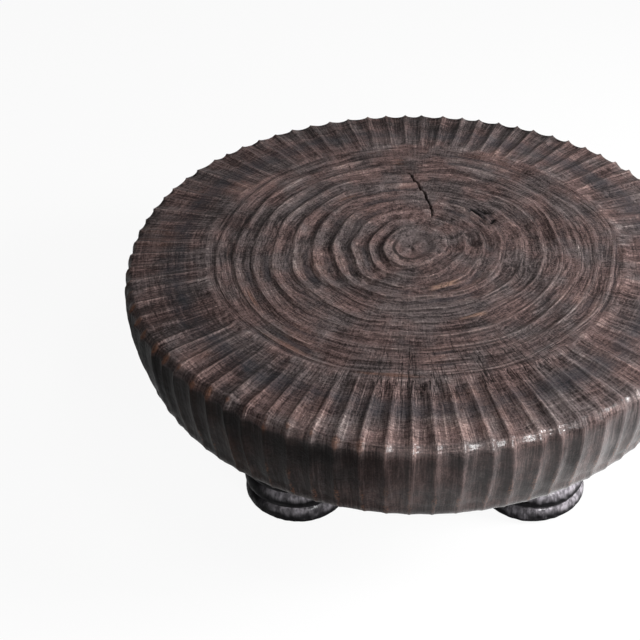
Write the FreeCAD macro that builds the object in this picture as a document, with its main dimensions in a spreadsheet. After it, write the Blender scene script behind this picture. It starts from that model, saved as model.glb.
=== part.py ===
import FreeCAD, Part
import math
import os
from types import SimpleNamespace
import Sketcher

# Low round table: one thick carved slab on four ringed feet, each bolted up into the slab.
# Lengths are millimetres. +Z is up, the front is -Y, and the origin is on the floor
# under the middle of the slab.

# Driving sizes: name, value, what it measures.
SIZES = [
    ("topRadius", 450, "slab at its widest, over the ridges"),
    ("slabThickness", 146, "top face to underside"),
    ("widestDrop", 42, "widest place below the top face"),
    ("sideCurve", 222, "radius of the side, seen from the side"),
    ("shoulderDrop", 116, "end of that curve below the top face"),
    ("lowerRounding", 50, "radius from the side to the underside"),
    ("undersideRadius", 412, "flat underside"),
    ("rimRounding", 4, "worn edge between top face and side"),
    ("fluteCount", 82, "flutes round the rim"),
    ("fluteDepth", 4, "depth of a flute at the rim"),
    ("fluteRidge", 3, "width of the ridge between two flutes at the rim"),
    ("fluteSweep", 60, "degrees of a side flute about the centre of the side's curve"),
    ("ringZoneRadius", 320, "inner ends of the flutes"),
    ("ringBorder", 10, "plain band outside the last ring"),
    ("discRadius", 46, "dished disc at the centre, with its ridge"),
    ("discDepth", 2.4, "depth of the dish at the centre"),
    ("ringCount", 9, "carved rings"),
    ("ringRidge", 2, "width of the ridge between two rings"),
    ("innerRingDepth", 4.4, "depth of the first ring from the centre"),
    ("outerRingDepth", 1.6, "depth of the last ring"),
    ("footSpacing", 370, "between neighbouring feet, axis to axis"),
    ("footRadius", 84, "foot over its rings"),
    ("footHeight", 195, "pad to underside"),
    ("footToeHeight", 28, "lowest ring"),
    ("footToeRounding", 11, "lowest ring's lower edge"),
    ("footRingCount", 5, "rings above the lowest"),
    ("footRingRounding", 6, "edges of each ring"),
    ("footGrooveWidth", 2, "bottom of the groove between two rings"),
    ("padRadius", 66, "felt pad"),
    ("padThickness", 3, "felt pad"),
    ("padRounding", 1, "felt pad's lower edge"),
    ("boltRadius", 6, "hanger bolt over its threads"),
    ("boltInFoot", 80, "hanger bolt below the joint"),
    ("boltInSlab", 44, "hanger bolt above the joint"),
    ("boltShankRadius", 5, "plain shank between the two threads"),
    ("boltShankLength", 12, "plain shank between the two threads"),
    ("boltPointRadius", 1.5, "tip of the wood thread"),
    ("boltPointLength", 12, "taper of the wood thread"),
    ("boltChamfer", 1.5, "upper end"),
    ("insertRadius", 10, "threaded insert over its barbs"),
    ("insertLength", 34, "threaded insert with its flange"),
    ("insertBarbCount", 5, "barbs"),
    ("insertBarbDepth", 1, "barb"),
    ("flangeRadius", 15, "threaded insert's flange"),
    ("flangeThickness", 2.5, "threaded insert's flange"),
    ("holeClearance", 0.05, "round a bolt or an insert in its hole"),
    ("holeSpare", 6, "hole beyond the end of what it holds"),
    ("overrun", 10, "cutters past the face that they cut"),
]

# Height of a gouge's flat back over the face that it cuts, as a share of the cut's depth.
BACK_LIFT_SHARE = 0.2

# Which side of the slab each foot stands on.
CORNERS = {
    "front_left": (-1, -1),
    "front_right": (1, -1),
    "back_left": (-1, 1),
    "back_right": (1, 1),
}


# Sizes that carry both their number and the sheet expression behind it.
class Size:
    def __init__(self, value, text):
        self.value = value
        self.text = text

    def __add__(self, other):
        other = as_size(other)
        return Size(self.value + other.value, "(%s + %s)" % (self.text, other.text))

    def __sub__(self, other):
        other = as_size(other)
        return Size(self.value - other.value, "(%s - %s)" % (self.text, other.text))

    def __mul__(self, other):
        other = as_size(other)
        return Size(self.value * other.value, "(%s * %s)" % (self.text, other.text))

    def __truediv__(self, other):
        other = as_size(other)
        return Size(self.value / other.value, "(%s / %s)" % (self.text, other.text))


def as_size(item):
    return item if isinstance(item, Size) else Size(item, repr(item))


def root(size):
    return Size(math.sqrt(size.value), "sqrt(%s)" % size.text)


def arccos(share):
    """Angle in degrees, as the sheet's expressions give it."""
    return Size(math.degrees(math.acos(share.value)), "acos(%s)" % share.text)


def square(size):
    return size * size


# The document and its sheet.
doc = FreeCAD.newDocument("carved_round_table")
sheet = doc.addObject("Spreadsheet::Sheet", "sizes")
for row, (name, value, note) in enumerate(SIZES, start=1):
    sheet.set("A%d" % row, name)
    sheet.set("B%d" % row, str(value))
    sheet.set("C%d" % row, note)
    sheet.setAlias("B%d" % row, name)
doc.recompute()
s = SimpleNamespace(**{name: Size(value, "sizes." + name) for name, value, note in SIZES})

# Levels and radii that several pieces share.
foot_level = s.padThickness
joint_level = s.padThickness + s.footHeight
top_level = joint_level + s.slabThickness
ring_height = (s.footHeight - s.footToeHeight) / s.footRingCount
bolt_bore = s.boltRadius + s.holeClearance
side_centre = s.topRadius - s.sideCurve


def side_radius(drop, curve=s.sideCurve):
    """Radius reached by an arc about the side's centre at a drop below the top face."""
    return side_centre + root(square(curve) - square(s.widestDrop - drop))


# Bodies, sketches and the ties between them and the sheet.
def bind(item, path, size):
    item.setExpression(path, size.text)


def new_body(label):
    body = doc.addObject("PartDesign::Body", label)
    body.Label = label
    return body


def origin_part(body, role):
    return [feature for feature in body.Origin.OriginFeatures if feature.Role == role][0]


def new_sketch(body, name, role):
    sketch = body.newObject("Sketcher::SketchObject", name)
    sketch.AttachmentSupport = [(origin_part(body, role), "")]
    sketch.MapMode = "FlatFace"
    return sketch


def tie(sketch, kind, places, size):
    """Add one measured constraint and bind it to the sheet."""
    index = sketch.addConstraint(Sketcher.Constraint(kind, *places, size.value))
    bind(sketch, "Constraints[%d]" % index, size)


def tie_point(sketch, edge, end, x, y):
    """Hold one end of an edge at its two distances from the sketch's origin."""
    for kind, axis, size in (("DistanceX", -2, x), ("DistanceY", -1, y)):
        if size.value == 0:
            sketch.addConstraint(Sketcher.Constraint("PointOnObject", edge, end, axis))
        else:
            tie(sketch, kind, (-1, 1, edge, end), size)


def arc_between(start, end, radius):
    """Arc that bulges to the right of the way from start to end."""
    chord = end - start
    reach = math.sqrt(max(radius * radius - chord.Length * chord.Length / 4, 0))
    left = FreeCAD.Vector(-chord.y, chord.x, 0).normalize()
    centre = (start + end) / 2 + left * reach
    circle = Part.Circle(centre, FreeCAD.Vector(0, 0, 1), radius)
    angles = [math.atan2(point.y - centre.y, point.x - centre.x) for point in (start, end)]
    return Part.ArcOfCircle(circle, *angles)


def draw(sketch, corners):
    """Draw corners (x, y) or (x, y, radius of the arc to the next one), anticlockwise."""
    spots = [FreeCAD.Vector(corner[0].value, corner[1].value, 0) for corner in corners]
    edges = []
    for corner, start, end in zip(corners, spots, spots[1:] + spots[:1]):
        if len(corner) == 3:
            edge = arc_between(start, end, corner[2].value)
        else:
            edge = Part.LineSegment(start, end)
        edges.append(sketch.addGeometry(edge, False))
    for index, (corner, edge) in enumerate(zip(corners, edges)):
        sketch.addConstraint(Sketcher.Constraint("Coincident", edges[index - 1], 2, edge, 1))
        tie_point(sketch, edge, 1, *corner[:2])
        if len(corner) == 3:
            tie(sketch, "Radius", (edge,), corner[2])


def draw_circle(sketch, x, y, radius):
    centre = FreeCAD.Vector(x.value, y.value, 0)
    edge = sketch.addGeometry(Part.Circle(centre, FreeCAD.Vector(0, 0, 1), radius.value), False)
    tie_point(sketch, edge, 3, x, y)
    tie(sketch, "Radius", (edge,), radius)


def draw_axis(sketch, start, end):
    """Construction line that a feature can turn about."""
    spots = [FreeCAD.Vector(x.value, y.value, 0) for x, y in (start, end)]
    line = sketch.addGeometry(Part.LineSegment(*spots), True)
    tie_point(sketch, line, 1, *start)
    tie_point(sketch, line, 2, *end)


def turn(body, name, sketch, kind="PartDesign::Revolution", axis="V_Axis"):
    """Turn a sketch a full circle about one of its own axes."""
    feature = body.newObject(kind, name)
    feature.Profile = sketch
    feature.ReferenceAxis = (sketch, [axis])
    feature.Angle = 360
    return feature


def turned_body(label, corners):
    """Body whose outline, given from its own lower end, is turned about its own Z axis."""
    body = new_body(label)
    outline = new_sketch(body, label + "_outline", "XZ_Plane")
    draw(outline, corners)
    turn(body, label + "_turned", outline)
    return body


def place(item, side, level):
    """Stand an item on the axis of the foot at this side."""
    bind(item, "Placement.Base.x", s.footSpacing * (side[0] / 2))
    bind(item, "Placement.Base.y", s.footSpacing * (side[1] / 2))
    bind(item, "Placement.Base.z", level)


def round_pattern(body, name, originals, count):
    """Repeat features about the body's Z axis and make the result the body's tip."""
    pattern = body.newObject("PartDesign::PolarPattern", name)
    pattern.Originals = originals
    pattern.Axis = (origin_part(body, "Z_Axis"), [""])
    pattern.Angle = 360
    bind(pattern, "Occurrences", count)
    body.Tip = pattern
    return pattern


# The slab.
def slab_blank(body):
    """Plain slab: flat underside, rounding, bulging side, worn rim and flat top."""
    zero = as_size(0)
    outline = new_sketch(body, "slab_outline", "XZ_Plane")
    draw(outline, [
        (zero, joint_level),
        (s.undersideRadius, joint_level, s.lowerRounding),
        (side_radius(s.shoulderDrop), top_level - s.shoulderDrop, s.sideCurve),
        (side_radius(s.rimRounding), top_level - s.rimRounding, s.rimRounding),
        (side_radius(zero) - s.rimRounding, top_level),
        (zero, top_level),
    ])
    return turn(body, "slab_blank", outline)


def insert_sockets(body):
    """Holes in the underside for the four threaded inserts and the bolts' ends."""
    cuts = []
    for name, radius, depth in (
        ("flange_recess", s.flangeRadius + s.holeClearance, s.flangeThickness),
        ("insert_hole", s.insertRadius + s.holeClearance, s.boltInSlab + s.holeSpare),
    ):
        sketch = new_sketch(body, name + "_circle", "XY_Plane")
        bind(sketch, "AttachmentOffset.Base.z", joint_level)
        draw_circle(sketch, s.footSpacing / 2, s.footSpacing / 2, radius)
        cut = body.newObject("PartDesign::Pocket", name)
        cut.Profile = sketch
        cut.Reversed = True
        bind(cut, "Length", depth)
        cuts.append(cut)
    return round_pattern(body, "insert_sockets", cuts, as_size(len(CORNERS)))


def ring_grooves(body):
    """Dished centre and the shallow hollows round it, each an arc turned about the table's axis."""
    sketch = new_sketch(body, "ring_outlines", "XZ_Plane")
    zero = as_size(0)
    dish_radius = s.discRadius - s.ringRidge / 2
    draw(sketch, [
        (zero, top_level - s.discDepth, gouge_radius(dish_radius, s.discDepth)),
        (dish_radius, top_level),
        (dish_radius, top_level + s.overrun),
        (zero, top_level + s.overrun),
    ])
    pitch = (s.ringZoneRadius - s.ringBorder - s.discRadius) / s.ringCount
    half_width = (pitch - s.ringRidge) / 2
    for index in range(int(s.ringCount.value)):
        outward = as_size(index + 0.5)
        fall = (s.innerRingDepth - s.outerRingDepth) * outward / s.ringCount
        depth = s.innerRingDepth - fall
        middle = s.discRadius + pitch * outward
        draw(sketch, [
            (middle - half_width, top_level, gouge_radius(half_width, depth)),
            (middle + half_width, top_level),
            (middle + half_width, top_level + s.overrun),
            (middle - half_width, top_level + s.overrun),
        ])
    return turn(body, "ring_grooves", sketch, "PartDesign::Groove")


def gouge_radius(half_width, depth):
    """Radius of the round gouge that cuts a hollow this wide and this deep."""
    return (square(half_width) + square(depth)) / (depth * 2)


def gouge_back(radius, depth):
    """Distance from a gouge's axis to its flat back, which lies clear of the face that it cuts."""
    return radius - depth * (1 + BACK_LIFT_SHARE)


def rim_flute():
    """Rim radius, and half the width of a flute that leaves its ridge at the rim."""
    rim = side_radius(as_size(0))
    return rim, (rim * (2 * math.pi) / s.fluteCount - s.fluteRidge) / 2


def top_flute(body):
    """One flute across the rim band: a slice of a cone whose tip is on the table's axis.

    The cone's inner end is rounded, and only its lower part is turned."""
    rim, half_width = rim_flute()
    radius = gouge_radius(half_width, s.fluteDepth)
    inner = s.ringZoneRadius / (as_size(1) - half_width / rim)
    outer = s.topRadius + s.overrun
    rise = (radius - s.fluteDepth) / rim
    fall = s.fluteDepth / rim
    ball = radius * inner / rim
    tip = inner - ball
    sketch = new_sketch(body, "top_flute_outline", "XZ_Plane")
    draw_axis(sketch, (tip, top_level + rise * tip), (outer, top_level + rise * outer))
    draw(sketch, [
        (tip, top_level + rise * tip, ball),
        (inner, top_level - fall * inner),
        (outer, top_level - fall * outer),
        (outer, top_level + rise * outer),
    ])
    flute = turn(body, "top_flute", sketch, "PartDesign::Groove", "Axis0")
    flute.Midplane = True
    bind(flute, "Angle", arccos(gouge_back(radius, s.fluteDepth) / radius) * 2)
    return flute


def side_flute(body):
    """One flute down the side: a round gouge turned about the centre of the side's curve.

    It runs out below, where the slab rounds in towards its underside."""
    half_width = rim_flute()[1]
    radius = gouge_radius(half_width, s.fluteDepth)
    back = gouge_back(radius, s.fluteDepth)
    reach = s.topRadius - s.fluteDepth + radius - back
    chord = root(square(radius) - square(back))
    sketch = new_sketch(body, "side_flute_outline", "XY_Plane")
    bind(sketch, "AttachmentOffset.Base.z", top_level - s.widestDrop)
    draw_axis(sketch, (side_centre, as_size(0)), (side_centre, half_width))
    draw(sketch, [(reach, as_size(0) - chord), (reach, chord, radius)])
    flute = turn(body, "side_flute", sketch, "PartDesign::Groove", "Axis0")
    flute.Midplane = True
    bind(flute, "Angle", s.fluteSweep)
    return flute


def table_top():
    body = new_body("table_top")
    slab_blank(body)
    insert_sockets(body)
    ring_grooves(body)
    flutes = [top_flute(body), side_flute(body)]
    round_pattern(body, "flutes", flutes, s.fluteCount)
    return body


# The feet and their pads.
def foot(label, side):
    """Turned foot: a rounded toe, equal rings above it, and the bolt's hole from above."""
    zero = as_size(0)
    outer, edge = s.footRadius, s.footRingRounding
    hollow, half_groove = outer - edge, s.footGrooveWidth / 2
    depth = s.footHeight - s.boltInFoot - s.holeSpare
    corners = [(zero, zero), (outer - s.footToeRounding, zero, s.footToeRounding),
               (outer, s.footToeRounding)]
    for index in range(int(s.footRingCount.value)):
        groove = s.footToeHeight + ring_height * index
        corners += [
            (outer, groove - half_groove - edge, edge),
            (hollow, groove - half_groove),
            (hollow, groove + half_groove, edge),
            (outer, groove + half_groove + edge),
        ]
    corners += [(outer, s.footHeight - edge, edge), (hollow, s.footHeight),
                (bolt_bore, s.footHeight), (bolt_bore, depth), (zero, depth)]
    body = turned_body(label, corners)
    place(body, side, foot_level)
    return body


def felt_pad(label, side):
    zero = as_size(0)
    body = turned_body(label, [
        (zero, zero),
        (s.padRadius - s.padRounding, zero, s.padRounding),
        (s.padRadius, s.padRounding),
        (s.padRadius, s.padThickness),
        (zero, s.padThickness),
    ])
    place(body, side, zero)
    return body


# The fasteners.
def hanger_bolt(label, side):
    """Bolt with a wood thread below, drawn at its outer size, and a machine thread above."""
    zero = as_size(0)
    length = s.boltInFoot + s.boltInSlab
    shank_start = s.boltInFoot - s.boltShankLength
    body = turned_body(label, [
        (zero, zero),
        (s.boltPointRadius, zero),
        (s.boltRadius, s.boltPointLength),
        (s.boltRadius, shank_start),
        (s.boltShankRadius, shank_start),
        (s.boltShankRadius, s.boltInFoot),
        (s.boltRadius, s.boltInFoot),
        (s.boltRadius, length - s.boltChamfer),
        (s.boltRadius - s.boltChamfer, length),
        (zero, length),
    ])
    place(body, side, joint_level - s.boltInFoot)
    return body


def threaded_insert(label, side):
    """Flanged insert whose barbs taper upwards, so that a pull on the foot sets them."""
    zero = as_size(0)
    core = s.insertRadius - s.insertBarbDepth
    barb = (s.insertLength - s.flangeThickness) / s.insertBarbCount
    corners = [(bolt_bore, zero), (s.flangeRadius, zero), (s.flangeRadius, s.flangeThickness)]
    for index in range(int(s.insertBarbCount.value)):
        start = s.flangeThickness + barb * index
        corners += [(core, start), (core, start + barb / 2), (s.insertRadius, start + barb / 2)]
    corners += [(core, s.insertLength), (bolt_bore, s.insertLength)]
    body = turned_body(label, corners)
    place(body, side, joint_level)
    return body


def group(label, make):
    """One node that holds a separate solid at each foot."""
    members = [make("%s_%s" % (label, corner), side) for corner, side in CORNERS.items()]
    compound = doc.addObject("Part::Compound", label)
    compound.Label = label
    compound.Links = members
    return compound


nodes = [table_top(), group("hanger_bolts", hanger_bolt), group("threaded_inserts", threaded_insert)]
for corner, side in CORNERS.items():
    nodes.append(foot("foot_" + corner, side))
    nodes.append(felt_pad("felt_pad_" + corner, side))
doc.recompute()


# Checks before anything is written.
def cut_removes(feature):
    """True unless a cutting feature leaves the volume it started from."""
    return feature.Shape.Volume < feature.BaseFeature.Shape.Volume


for item in doc.Objects:
    if "Invalid" in item.State or "Error" in item.State:
        raise RuntimeError("%s failed: %s" % (item.Label, item.State))
    cutting = item.TypeId in ("PartDesign::Pocket", "PartDesign::Groove")
    if cutting and not cut_removes(item):
        raise RuntimeError("%s cuts nothing" % item.Label)

os.makedirs("parts", exist_ok=True)
for node in nodes:
    if node.Shape.isNull() or not node.Shape.isValid():
        raise RuntimeError("%s has no sound shape" % node.Label)
for node in nodes:
    node.Shape.exportStep("parts/%s.step" % node.Label)
    print("%-24s %2d solids %12.1f mm3" % (node.Label, len(node.Shape.Solids), node.Shape.Volume))
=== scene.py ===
import math
import bpy
import numpy as np
from mathutils import Matrix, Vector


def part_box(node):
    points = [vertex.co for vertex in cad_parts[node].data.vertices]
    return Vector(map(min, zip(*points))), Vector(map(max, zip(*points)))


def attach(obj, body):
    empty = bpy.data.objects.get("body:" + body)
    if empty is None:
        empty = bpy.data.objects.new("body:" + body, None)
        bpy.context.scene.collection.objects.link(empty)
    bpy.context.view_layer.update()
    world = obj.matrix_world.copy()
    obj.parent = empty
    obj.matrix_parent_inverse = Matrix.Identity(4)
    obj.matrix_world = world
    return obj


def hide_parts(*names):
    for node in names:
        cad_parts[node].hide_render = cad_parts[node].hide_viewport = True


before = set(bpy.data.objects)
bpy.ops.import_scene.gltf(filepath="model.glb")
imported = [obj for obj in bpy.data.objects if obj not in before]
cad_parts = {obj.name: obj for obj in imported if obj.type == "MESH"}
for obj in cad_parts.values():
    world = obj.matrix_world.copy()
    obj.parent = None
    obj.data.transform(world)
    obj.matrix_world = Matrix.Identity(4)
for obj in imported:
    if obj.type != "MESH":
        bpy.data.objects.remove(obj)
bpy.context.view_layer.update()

# Low round table of burnt wood: a thick log slice with carved rings and a fluted rim on ringed feet.
# Lengths are metres, +Z is up and the front is -Y. Directions round the table are degrees,
# counter-clockwise from +X, so that the front is at 270.
corners = ("front_left", "front_right", "back_left", "back_right")
slabLow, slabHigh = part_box("table_top")
slabRadius = slabHigh.x
slabTop = slabHigh.z
slabBase = slabLow.z


# Rises from 0 at low to 1 at high with flat ends.
def smooth(low, high, value):
    share = np.clip((value - low) / (high - low), 0, 1)
    return share * share * (3 - 2 * share)


# Rises from 0 to 1 between the first two values and falls back between the last two.
def band(value, rise, full, fade, gone):
    return smooth(rise, full, value) * (1 - smooth(fade, gone, value))


# Bell of height 1 about the middle.
def hump(value, middle, width):
    return np.exp(-((value - middle) / width) ** 2)


# Shortest turn from a line to an angle, in radians.
def turnFrom(angle, line):
    return np.angle(np.exp(1j * (angle - line)))


# Seamless noise round a circle: a sum of cosines, each with a seeded phase, about 1 high.
def roundNoise(angle, waves, seed):
    dice = np.random.default_rng(seed)
    total = np.zeros_like(angle)
    weight = 0
    for wave in range(1, waves + 1):
        size = wave ** -0.5
        total += size * dice.uniform(0.4, 1) * np.cos(wave * angle + dice.uniform(0, 2 * math.pi))
        weight += size * size * 0.25
    return total / math.sqrt(weight)


# Noise over an angle and a length: cosines of up to so many whole waves round and per unit of length.
def fieldNoise(angle, length, waves, perUnit, seed):
    count = 24
    dice = np.random.default_rng(seed)
    total = np.zeros(np.broadcast(angle, length).shape)
    for turn in range(count):
        around = dice.integers(1, waves + 1)
        over = dice.uniform(-1, 1) * perUnit * 2 * math.pi
        total += np.cos(around * angle + over * length + dice.uniform(0, 2 * math.pi))
    return total / math.sqrt(count / 2)


# Mesh object at the origin from points, faces and one float attribute per name in marks.
def meshFrom(name, points, faces, marks, material):
    mesh = bpy.data.meshes.new(name)
    mesh.from_pydata(points.tolist(), [], faces)
    for key, values in marks.items():
        layer = mesh.attributes.new(key, "FLOAT", "POINT")
        layer.data.foreach_set("value", np.ascontiguousarray(values, dtype=np.float32))
    mesh.polygons.foreach_set("use_smooth", np.ones(len(mesh.polygons), dtype=bool))
    mesh.materials.append(material)
    mesh.validate()
    mesh.update()
    piece = bpy.data.objects.new(name, mesh)
    bpy.context.scene.collection.objects.link(piece)
    return piece


# Faces between rows of points, from the first row to the last.
# A row has as many points as the next, half as many, twice as many, or one point, a pole.
def ringFaces(counts):
    starts = np.concatenate([[0], np.cumsum(counts)[:-1]]).tolist()
    faces = []
    for inner, outer, a, b in zip(counts[:-1], counts[1:], starts[:-1], starts[1:]):
        steps = max(inner, outer) if 1 in (inner, outer) else min(inner, outer)
        j = np.arange(steps)
        k = (j + 1) % steps
        if inner == 1:
            around = [np.full(outer, a), b + j, b + k]
        elif outer == 1:
            around = [a + j, np.full(inner, b), a + k]
        elif inner == outer:
            around = [a + j, b + j, b + k, a + k]
        elif outer == 2 * inner:
            around = [a + j, b + 2 * j, b + 2 * j + 1, b + (2 * j + 2) % outer, a + k]
        else:
            around = [a + 2 * j, b + j, b + k, a + (2 * j + 2) % inner, a + 2 * j + 1]
        faces += np.stack(around, 1).tolist()
    return faces


# The slab: its outline and its flutes. The rings and the split have their own values below.
slab = {
    "rimShare": 0.991,            # upper edge over the widest radius
    "widestDrop": 0.042,
    "sideCurve": 0.222,           # radius of the side's arc
    "shoulderDrop": 0.116,
    "undersideRadius": 0.412,
    "rimRounding": 0.0100,        # worn round at the front
    "rimKeen": 0.0030,            # and nearly sharp at the back
    "keenAt": 105,                # degrees
    "cornerFullness": 1.43,
    "topWave": 0.0007,
    "sideWave": 0.0012,
    "dent": (226, 16, 0.006),     # degrees, half width in degrees, and depth
    "flutes": 82,
    "stepsPerFlute": 10,
    "firstRidge": 64.31,          # degrees
    "ridgeWarp": (-3.52, -1.18),  # degrees of cosine and sine that crowd the flutes at the front
    "ridgeJitter": 0.30,          # degrees
    "ridgeWander": 0.42,          # degrees
    "wanderWaves": ((12, 1.0), (31, 0.55), (67, 0.3)),     # radians per metre and size
    "fluteStart": 0.320,
    "fluteUneven": 0.22,
    "fluteFullness": (2.6, 0.7),  # exponent of the hollow on the top, and how much less it is on the side
    "calm": (165, 55, 0.45),      # degrees, half width, and the share by which flutes are shallower there
    "leftPaintedRelief": (158, 62, 1.15, 0.9),                     # degrees, half width, painted shade and painted highlight
    "fluteDepths": (0.0025, 0.0044, 0.0050),               # at the inner ends, the rim and the side
    "ridgeHeight": 0.0005,
    "ridgeWorn": 0.0016,
    "lipHeight": 0.0010,
    "chatter": 0.00014,
}
rimRadius = slabRadius * slab["rimShare"]

# Mean radius of each ring's crest, how far it leans and how oval it is, as shares of the rim radius.
crestShares = np.array([0.0, 0.116, 0.176, 0.238, 0.302, 0.372, 0.440, 0.505, 0.570, 0.632, 0.694, 0.7175])
leanShares = np.array([0.0, 0.012, 0.020, 0.021, 0.019, 0.017, 0.016, 0.014, 0.013, 0.010, 0.004, 0.0])
ovalShares = np.array([0.0, 0.010, 0.011, 0.011, 0.009, 0.008, 0.008, 0.008, 0.008, 0.007, 0.003, 0.0])

# The rings are counted outwards: a place's phase is 0 at the centre and a whole number on each crest.
rings = {
    "leanToward": 332,            # degrees
    "ovalToward": 65,             # degrees
    "ripple": 0.0055,             # in rim radii
    "border": 10,                 # phase at which the last ring ends
    "discRows": 12,
    "rowsPerRing": 8,
    "discDepth": 0.0046,
    "discRise": (0.44, 0.74),     # phases
    "discHollow": 0.35,
    "discWear": 0.2,
    "discLip": (2.0, 0.85, 0.22, 222, 48),       # wear, phase and its half width, degrees and theirs
    "depths": (0.0056, 0.0028),   # near the centre and at the border
    "borderShare": 0.25,          # of the depth past the border
    "steepness": 0.60,            # makes a hollow steeper just outside its crest
    "uneven": 0.34,
    "toolMarks": 19,
    "toolDepth": 0.15,
    "doubled": 0.45,              # height of a lesser crest in the hollow's middle
    "crestHeight": 0.0009,
    "crestWidth": 0.09,           # phase
    "wornWidth": 0.16,            # phase
    "creases": 0.0004,
    "secondCuts": 0.0008,
    "pitch": 0.0289,
}

# The torn patch behind the centre.
torn = {"at": 36, "halfTurn": 12, "place": 0.322, "halfWidth": 0.036, "depth": 0.0040, "dark": 1.35}

# The long split in the top, from inside out: degrees, and shares of the rim radius.
crackPath = np.array([(67.6, 0.205), (70.6, 0.250), (74.0, 0.285), (77.0, 0.310),
                      (79.0, 0.345), (83.0, 0.400), (86.6, 0.460), (89.0, 0.515)])
crack = {
    "depth": 0.009,
    "halfWidth": 0.0014,
    "open": (0.205, 0.25, 0.49, 0.525),     # in rim radii
    "reach": 0.26,                          # radians in which columns are drawn together
    "pull": 0.72,
    "pulled": (0.12, 0.20, 0.60, 0.69),     # in rim radii
    "wiggles": ((0.0009, 610, 0), (0.0006, 1490, 1)),      # size, radians per metre and phase
}


# Angle of each column, counted in flutes: even steps, crowded towards the front, with jitter.
def ridgeAngles(columns):
    count = slab["flutes"]
    dice = np.random.default_rng(11)
    jitter = np.radians(dice.uniform(-1, 1, count + 1) * slab["ridgeJitter"])
    jitter[-1] = jitter[0]
    even = math.radians(slab["firstRidge"]) + 2 * math.pi * columns / count
    angle = even.copy()
    for turn in range(4):
        warp = slab["ridgeWarp"][0] * np.cos(angle) + slab["ridgeWarp"][1] * np.sin(angle)
        angle = even + np.radians(warp)
    return angle + np.interp(columns, np.arange(count + 1), jitter)


# Sideways drift of the ridges along their length: slow waves, seeded for each ridge.
def ridgeWander(columns, run):
    count = slab["flutes"]
    dice = np.random.default_rng(12)
    total = np.zeros((len(run), len(columns)))
    low = np.floor(columns).astype(int)
    share = columns - low
    high = np.minimum(low + 1, count)
    for wave, size in slab["wanderWaves"]:
        phase = dice.uniform(0, 2 * math.pi, count + 1)
        height = dice.uniform(0.1, 1, count + 1)
        phase[-1], height[-1] = phase[0], height[0]
        drift = height[None, :] * np.sin(wave * run[:, None] + phase[None, :])
        total += size * (drift[:, low] * (1 - share) + drift[:, high] * share)
    return total * math.radians(slab["ridgeWander"])


# One seeded number from -1 to 1 for each flute, blended across its ridges.
def perFlute(columns, seed):
    count = slab["flutes"]
    values = np.random.default_rng(seed).uniform(-1, 1, count)
    middle = np.arange(count) + 0.5
    wrapped = np.concatenate([middle[-1:] - count, middle, middle[:1] + count])
    padded = np.concatenate([values[-1:], values, values[:1]])
    return np.interp(columns, wrapped, padded)


# Radius of the side, an arc about a centre at the widest level, at a drop below the top.
def sideRadius(drop):
    reach = np.sqrt(slab["sideCurve"] ** 2 - (slab["widestDrop"] - drop) ** 2)
    return slabRadius - slab["sideCurve"] + reach


# Radius of a line that keeps its place between two crests: mean, lean, oval and ripple.
def crestRadius(phase, angle):
    numbers = np.arange(len(crestShares))
    mean, lean, oval = (np.interp(phase, numbers, shares) for shares in (crestShares, leanShares, ovalShares))
    ripple = rings["ripple"] * band(phase, 0.6, 2.5, 10, 11)
    ripple = ripple * fieldNoise(angle, phase, waves=9, perUnit=0.22, seed=21)
    share = mean + lean * np.cos(angle - math.radians(rings["leanToward"]))
    share = share + oval * np.cos(2 * (angle - math.radians(rings["ovalToward"]))) + ripple
    return share * rimRadius


# Draws the columns of the ringed part together along the split.
# Returns the new angles, the distance from the split, and how open it is at that radius.
def bendToCrack(angle, radius):
    share = radius / rimRadius
    line = np.radians(np.interp(share, crackPath[:, 1], crackPath[:, 0]))
    away = turnFrom(angle, line)
    bent = angle - away * crack["pull"] * band(share, *crack["pulled"]) * np.exp(-(away / crack["reach"]) ** 2)
    wiggle = sum(size * np.sin(radius * rate + start) for size, rate, start in crack["wiggles"])
    aside = turnFrom(bent, line) * radius + wiggle
    return bent, np.abs(aside), band(share, *crack["open"])


# Depth of a gouge's cut between two crests, deeper near the centre.
# Its hollow is a parabola, in the outer rings often with a lesser crest in the middle.
# Slow noise and short tool marks change it. The other results are how low the place lies, and the slow
# noise.
def gougeCut(phase, angle, leant):
    bowl = 1 - (2 * leant - 1) ** 2
    soft = 0.5 - 0.5 * math.cos(2 * math.pi * leant)
    twice = 0.5 - 0.5 * math.cos(4 * math.pi * leant)
    share = min(phase / rings["border"], 1.0)
    depth = rings["depths"][0] * (1 - share) ** 1.2 + rings["depths"][1] * share
    change = fieldNoise(angle, phase, waves=9, perUnit=0.3, seed=22)
    change = 1 + rings["uneven"] * smooth(0.8, 2.4, phase) * change
    tool = np.cos(rings["toolMarks"] * angle + 2.4 * phase + 2.2 * roundNoise(angle, 6, 23))
    tool = 1 + rings["toolDepth"] * band(phase, 1.0, 2.2, 3, 5.5) * tool * roundNoise(angle, 8, 28)
    tool = tool * (0.50 + 0.60 * smooth(-1.2, 1.2, fieldNoise(angle, phase, waves=4, perUnit=0.35, seed=34)))
    doubled = smooth(-0.5, 0.9, fieldNoise(angle, phase, waves=3, perUnit=0.25, seed=36))
    doubled = rings["doubled"] * doubled * smooth(3.5, 5.0, phase)
    bed = (0.88 * bowl + 0.12 * soft) * (1 - doubled) + doubled * twice
    return depth * np.clip(change * tool, 0.25, 1.8) * bed, 0.5 * (bowl + soft), change


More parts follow.
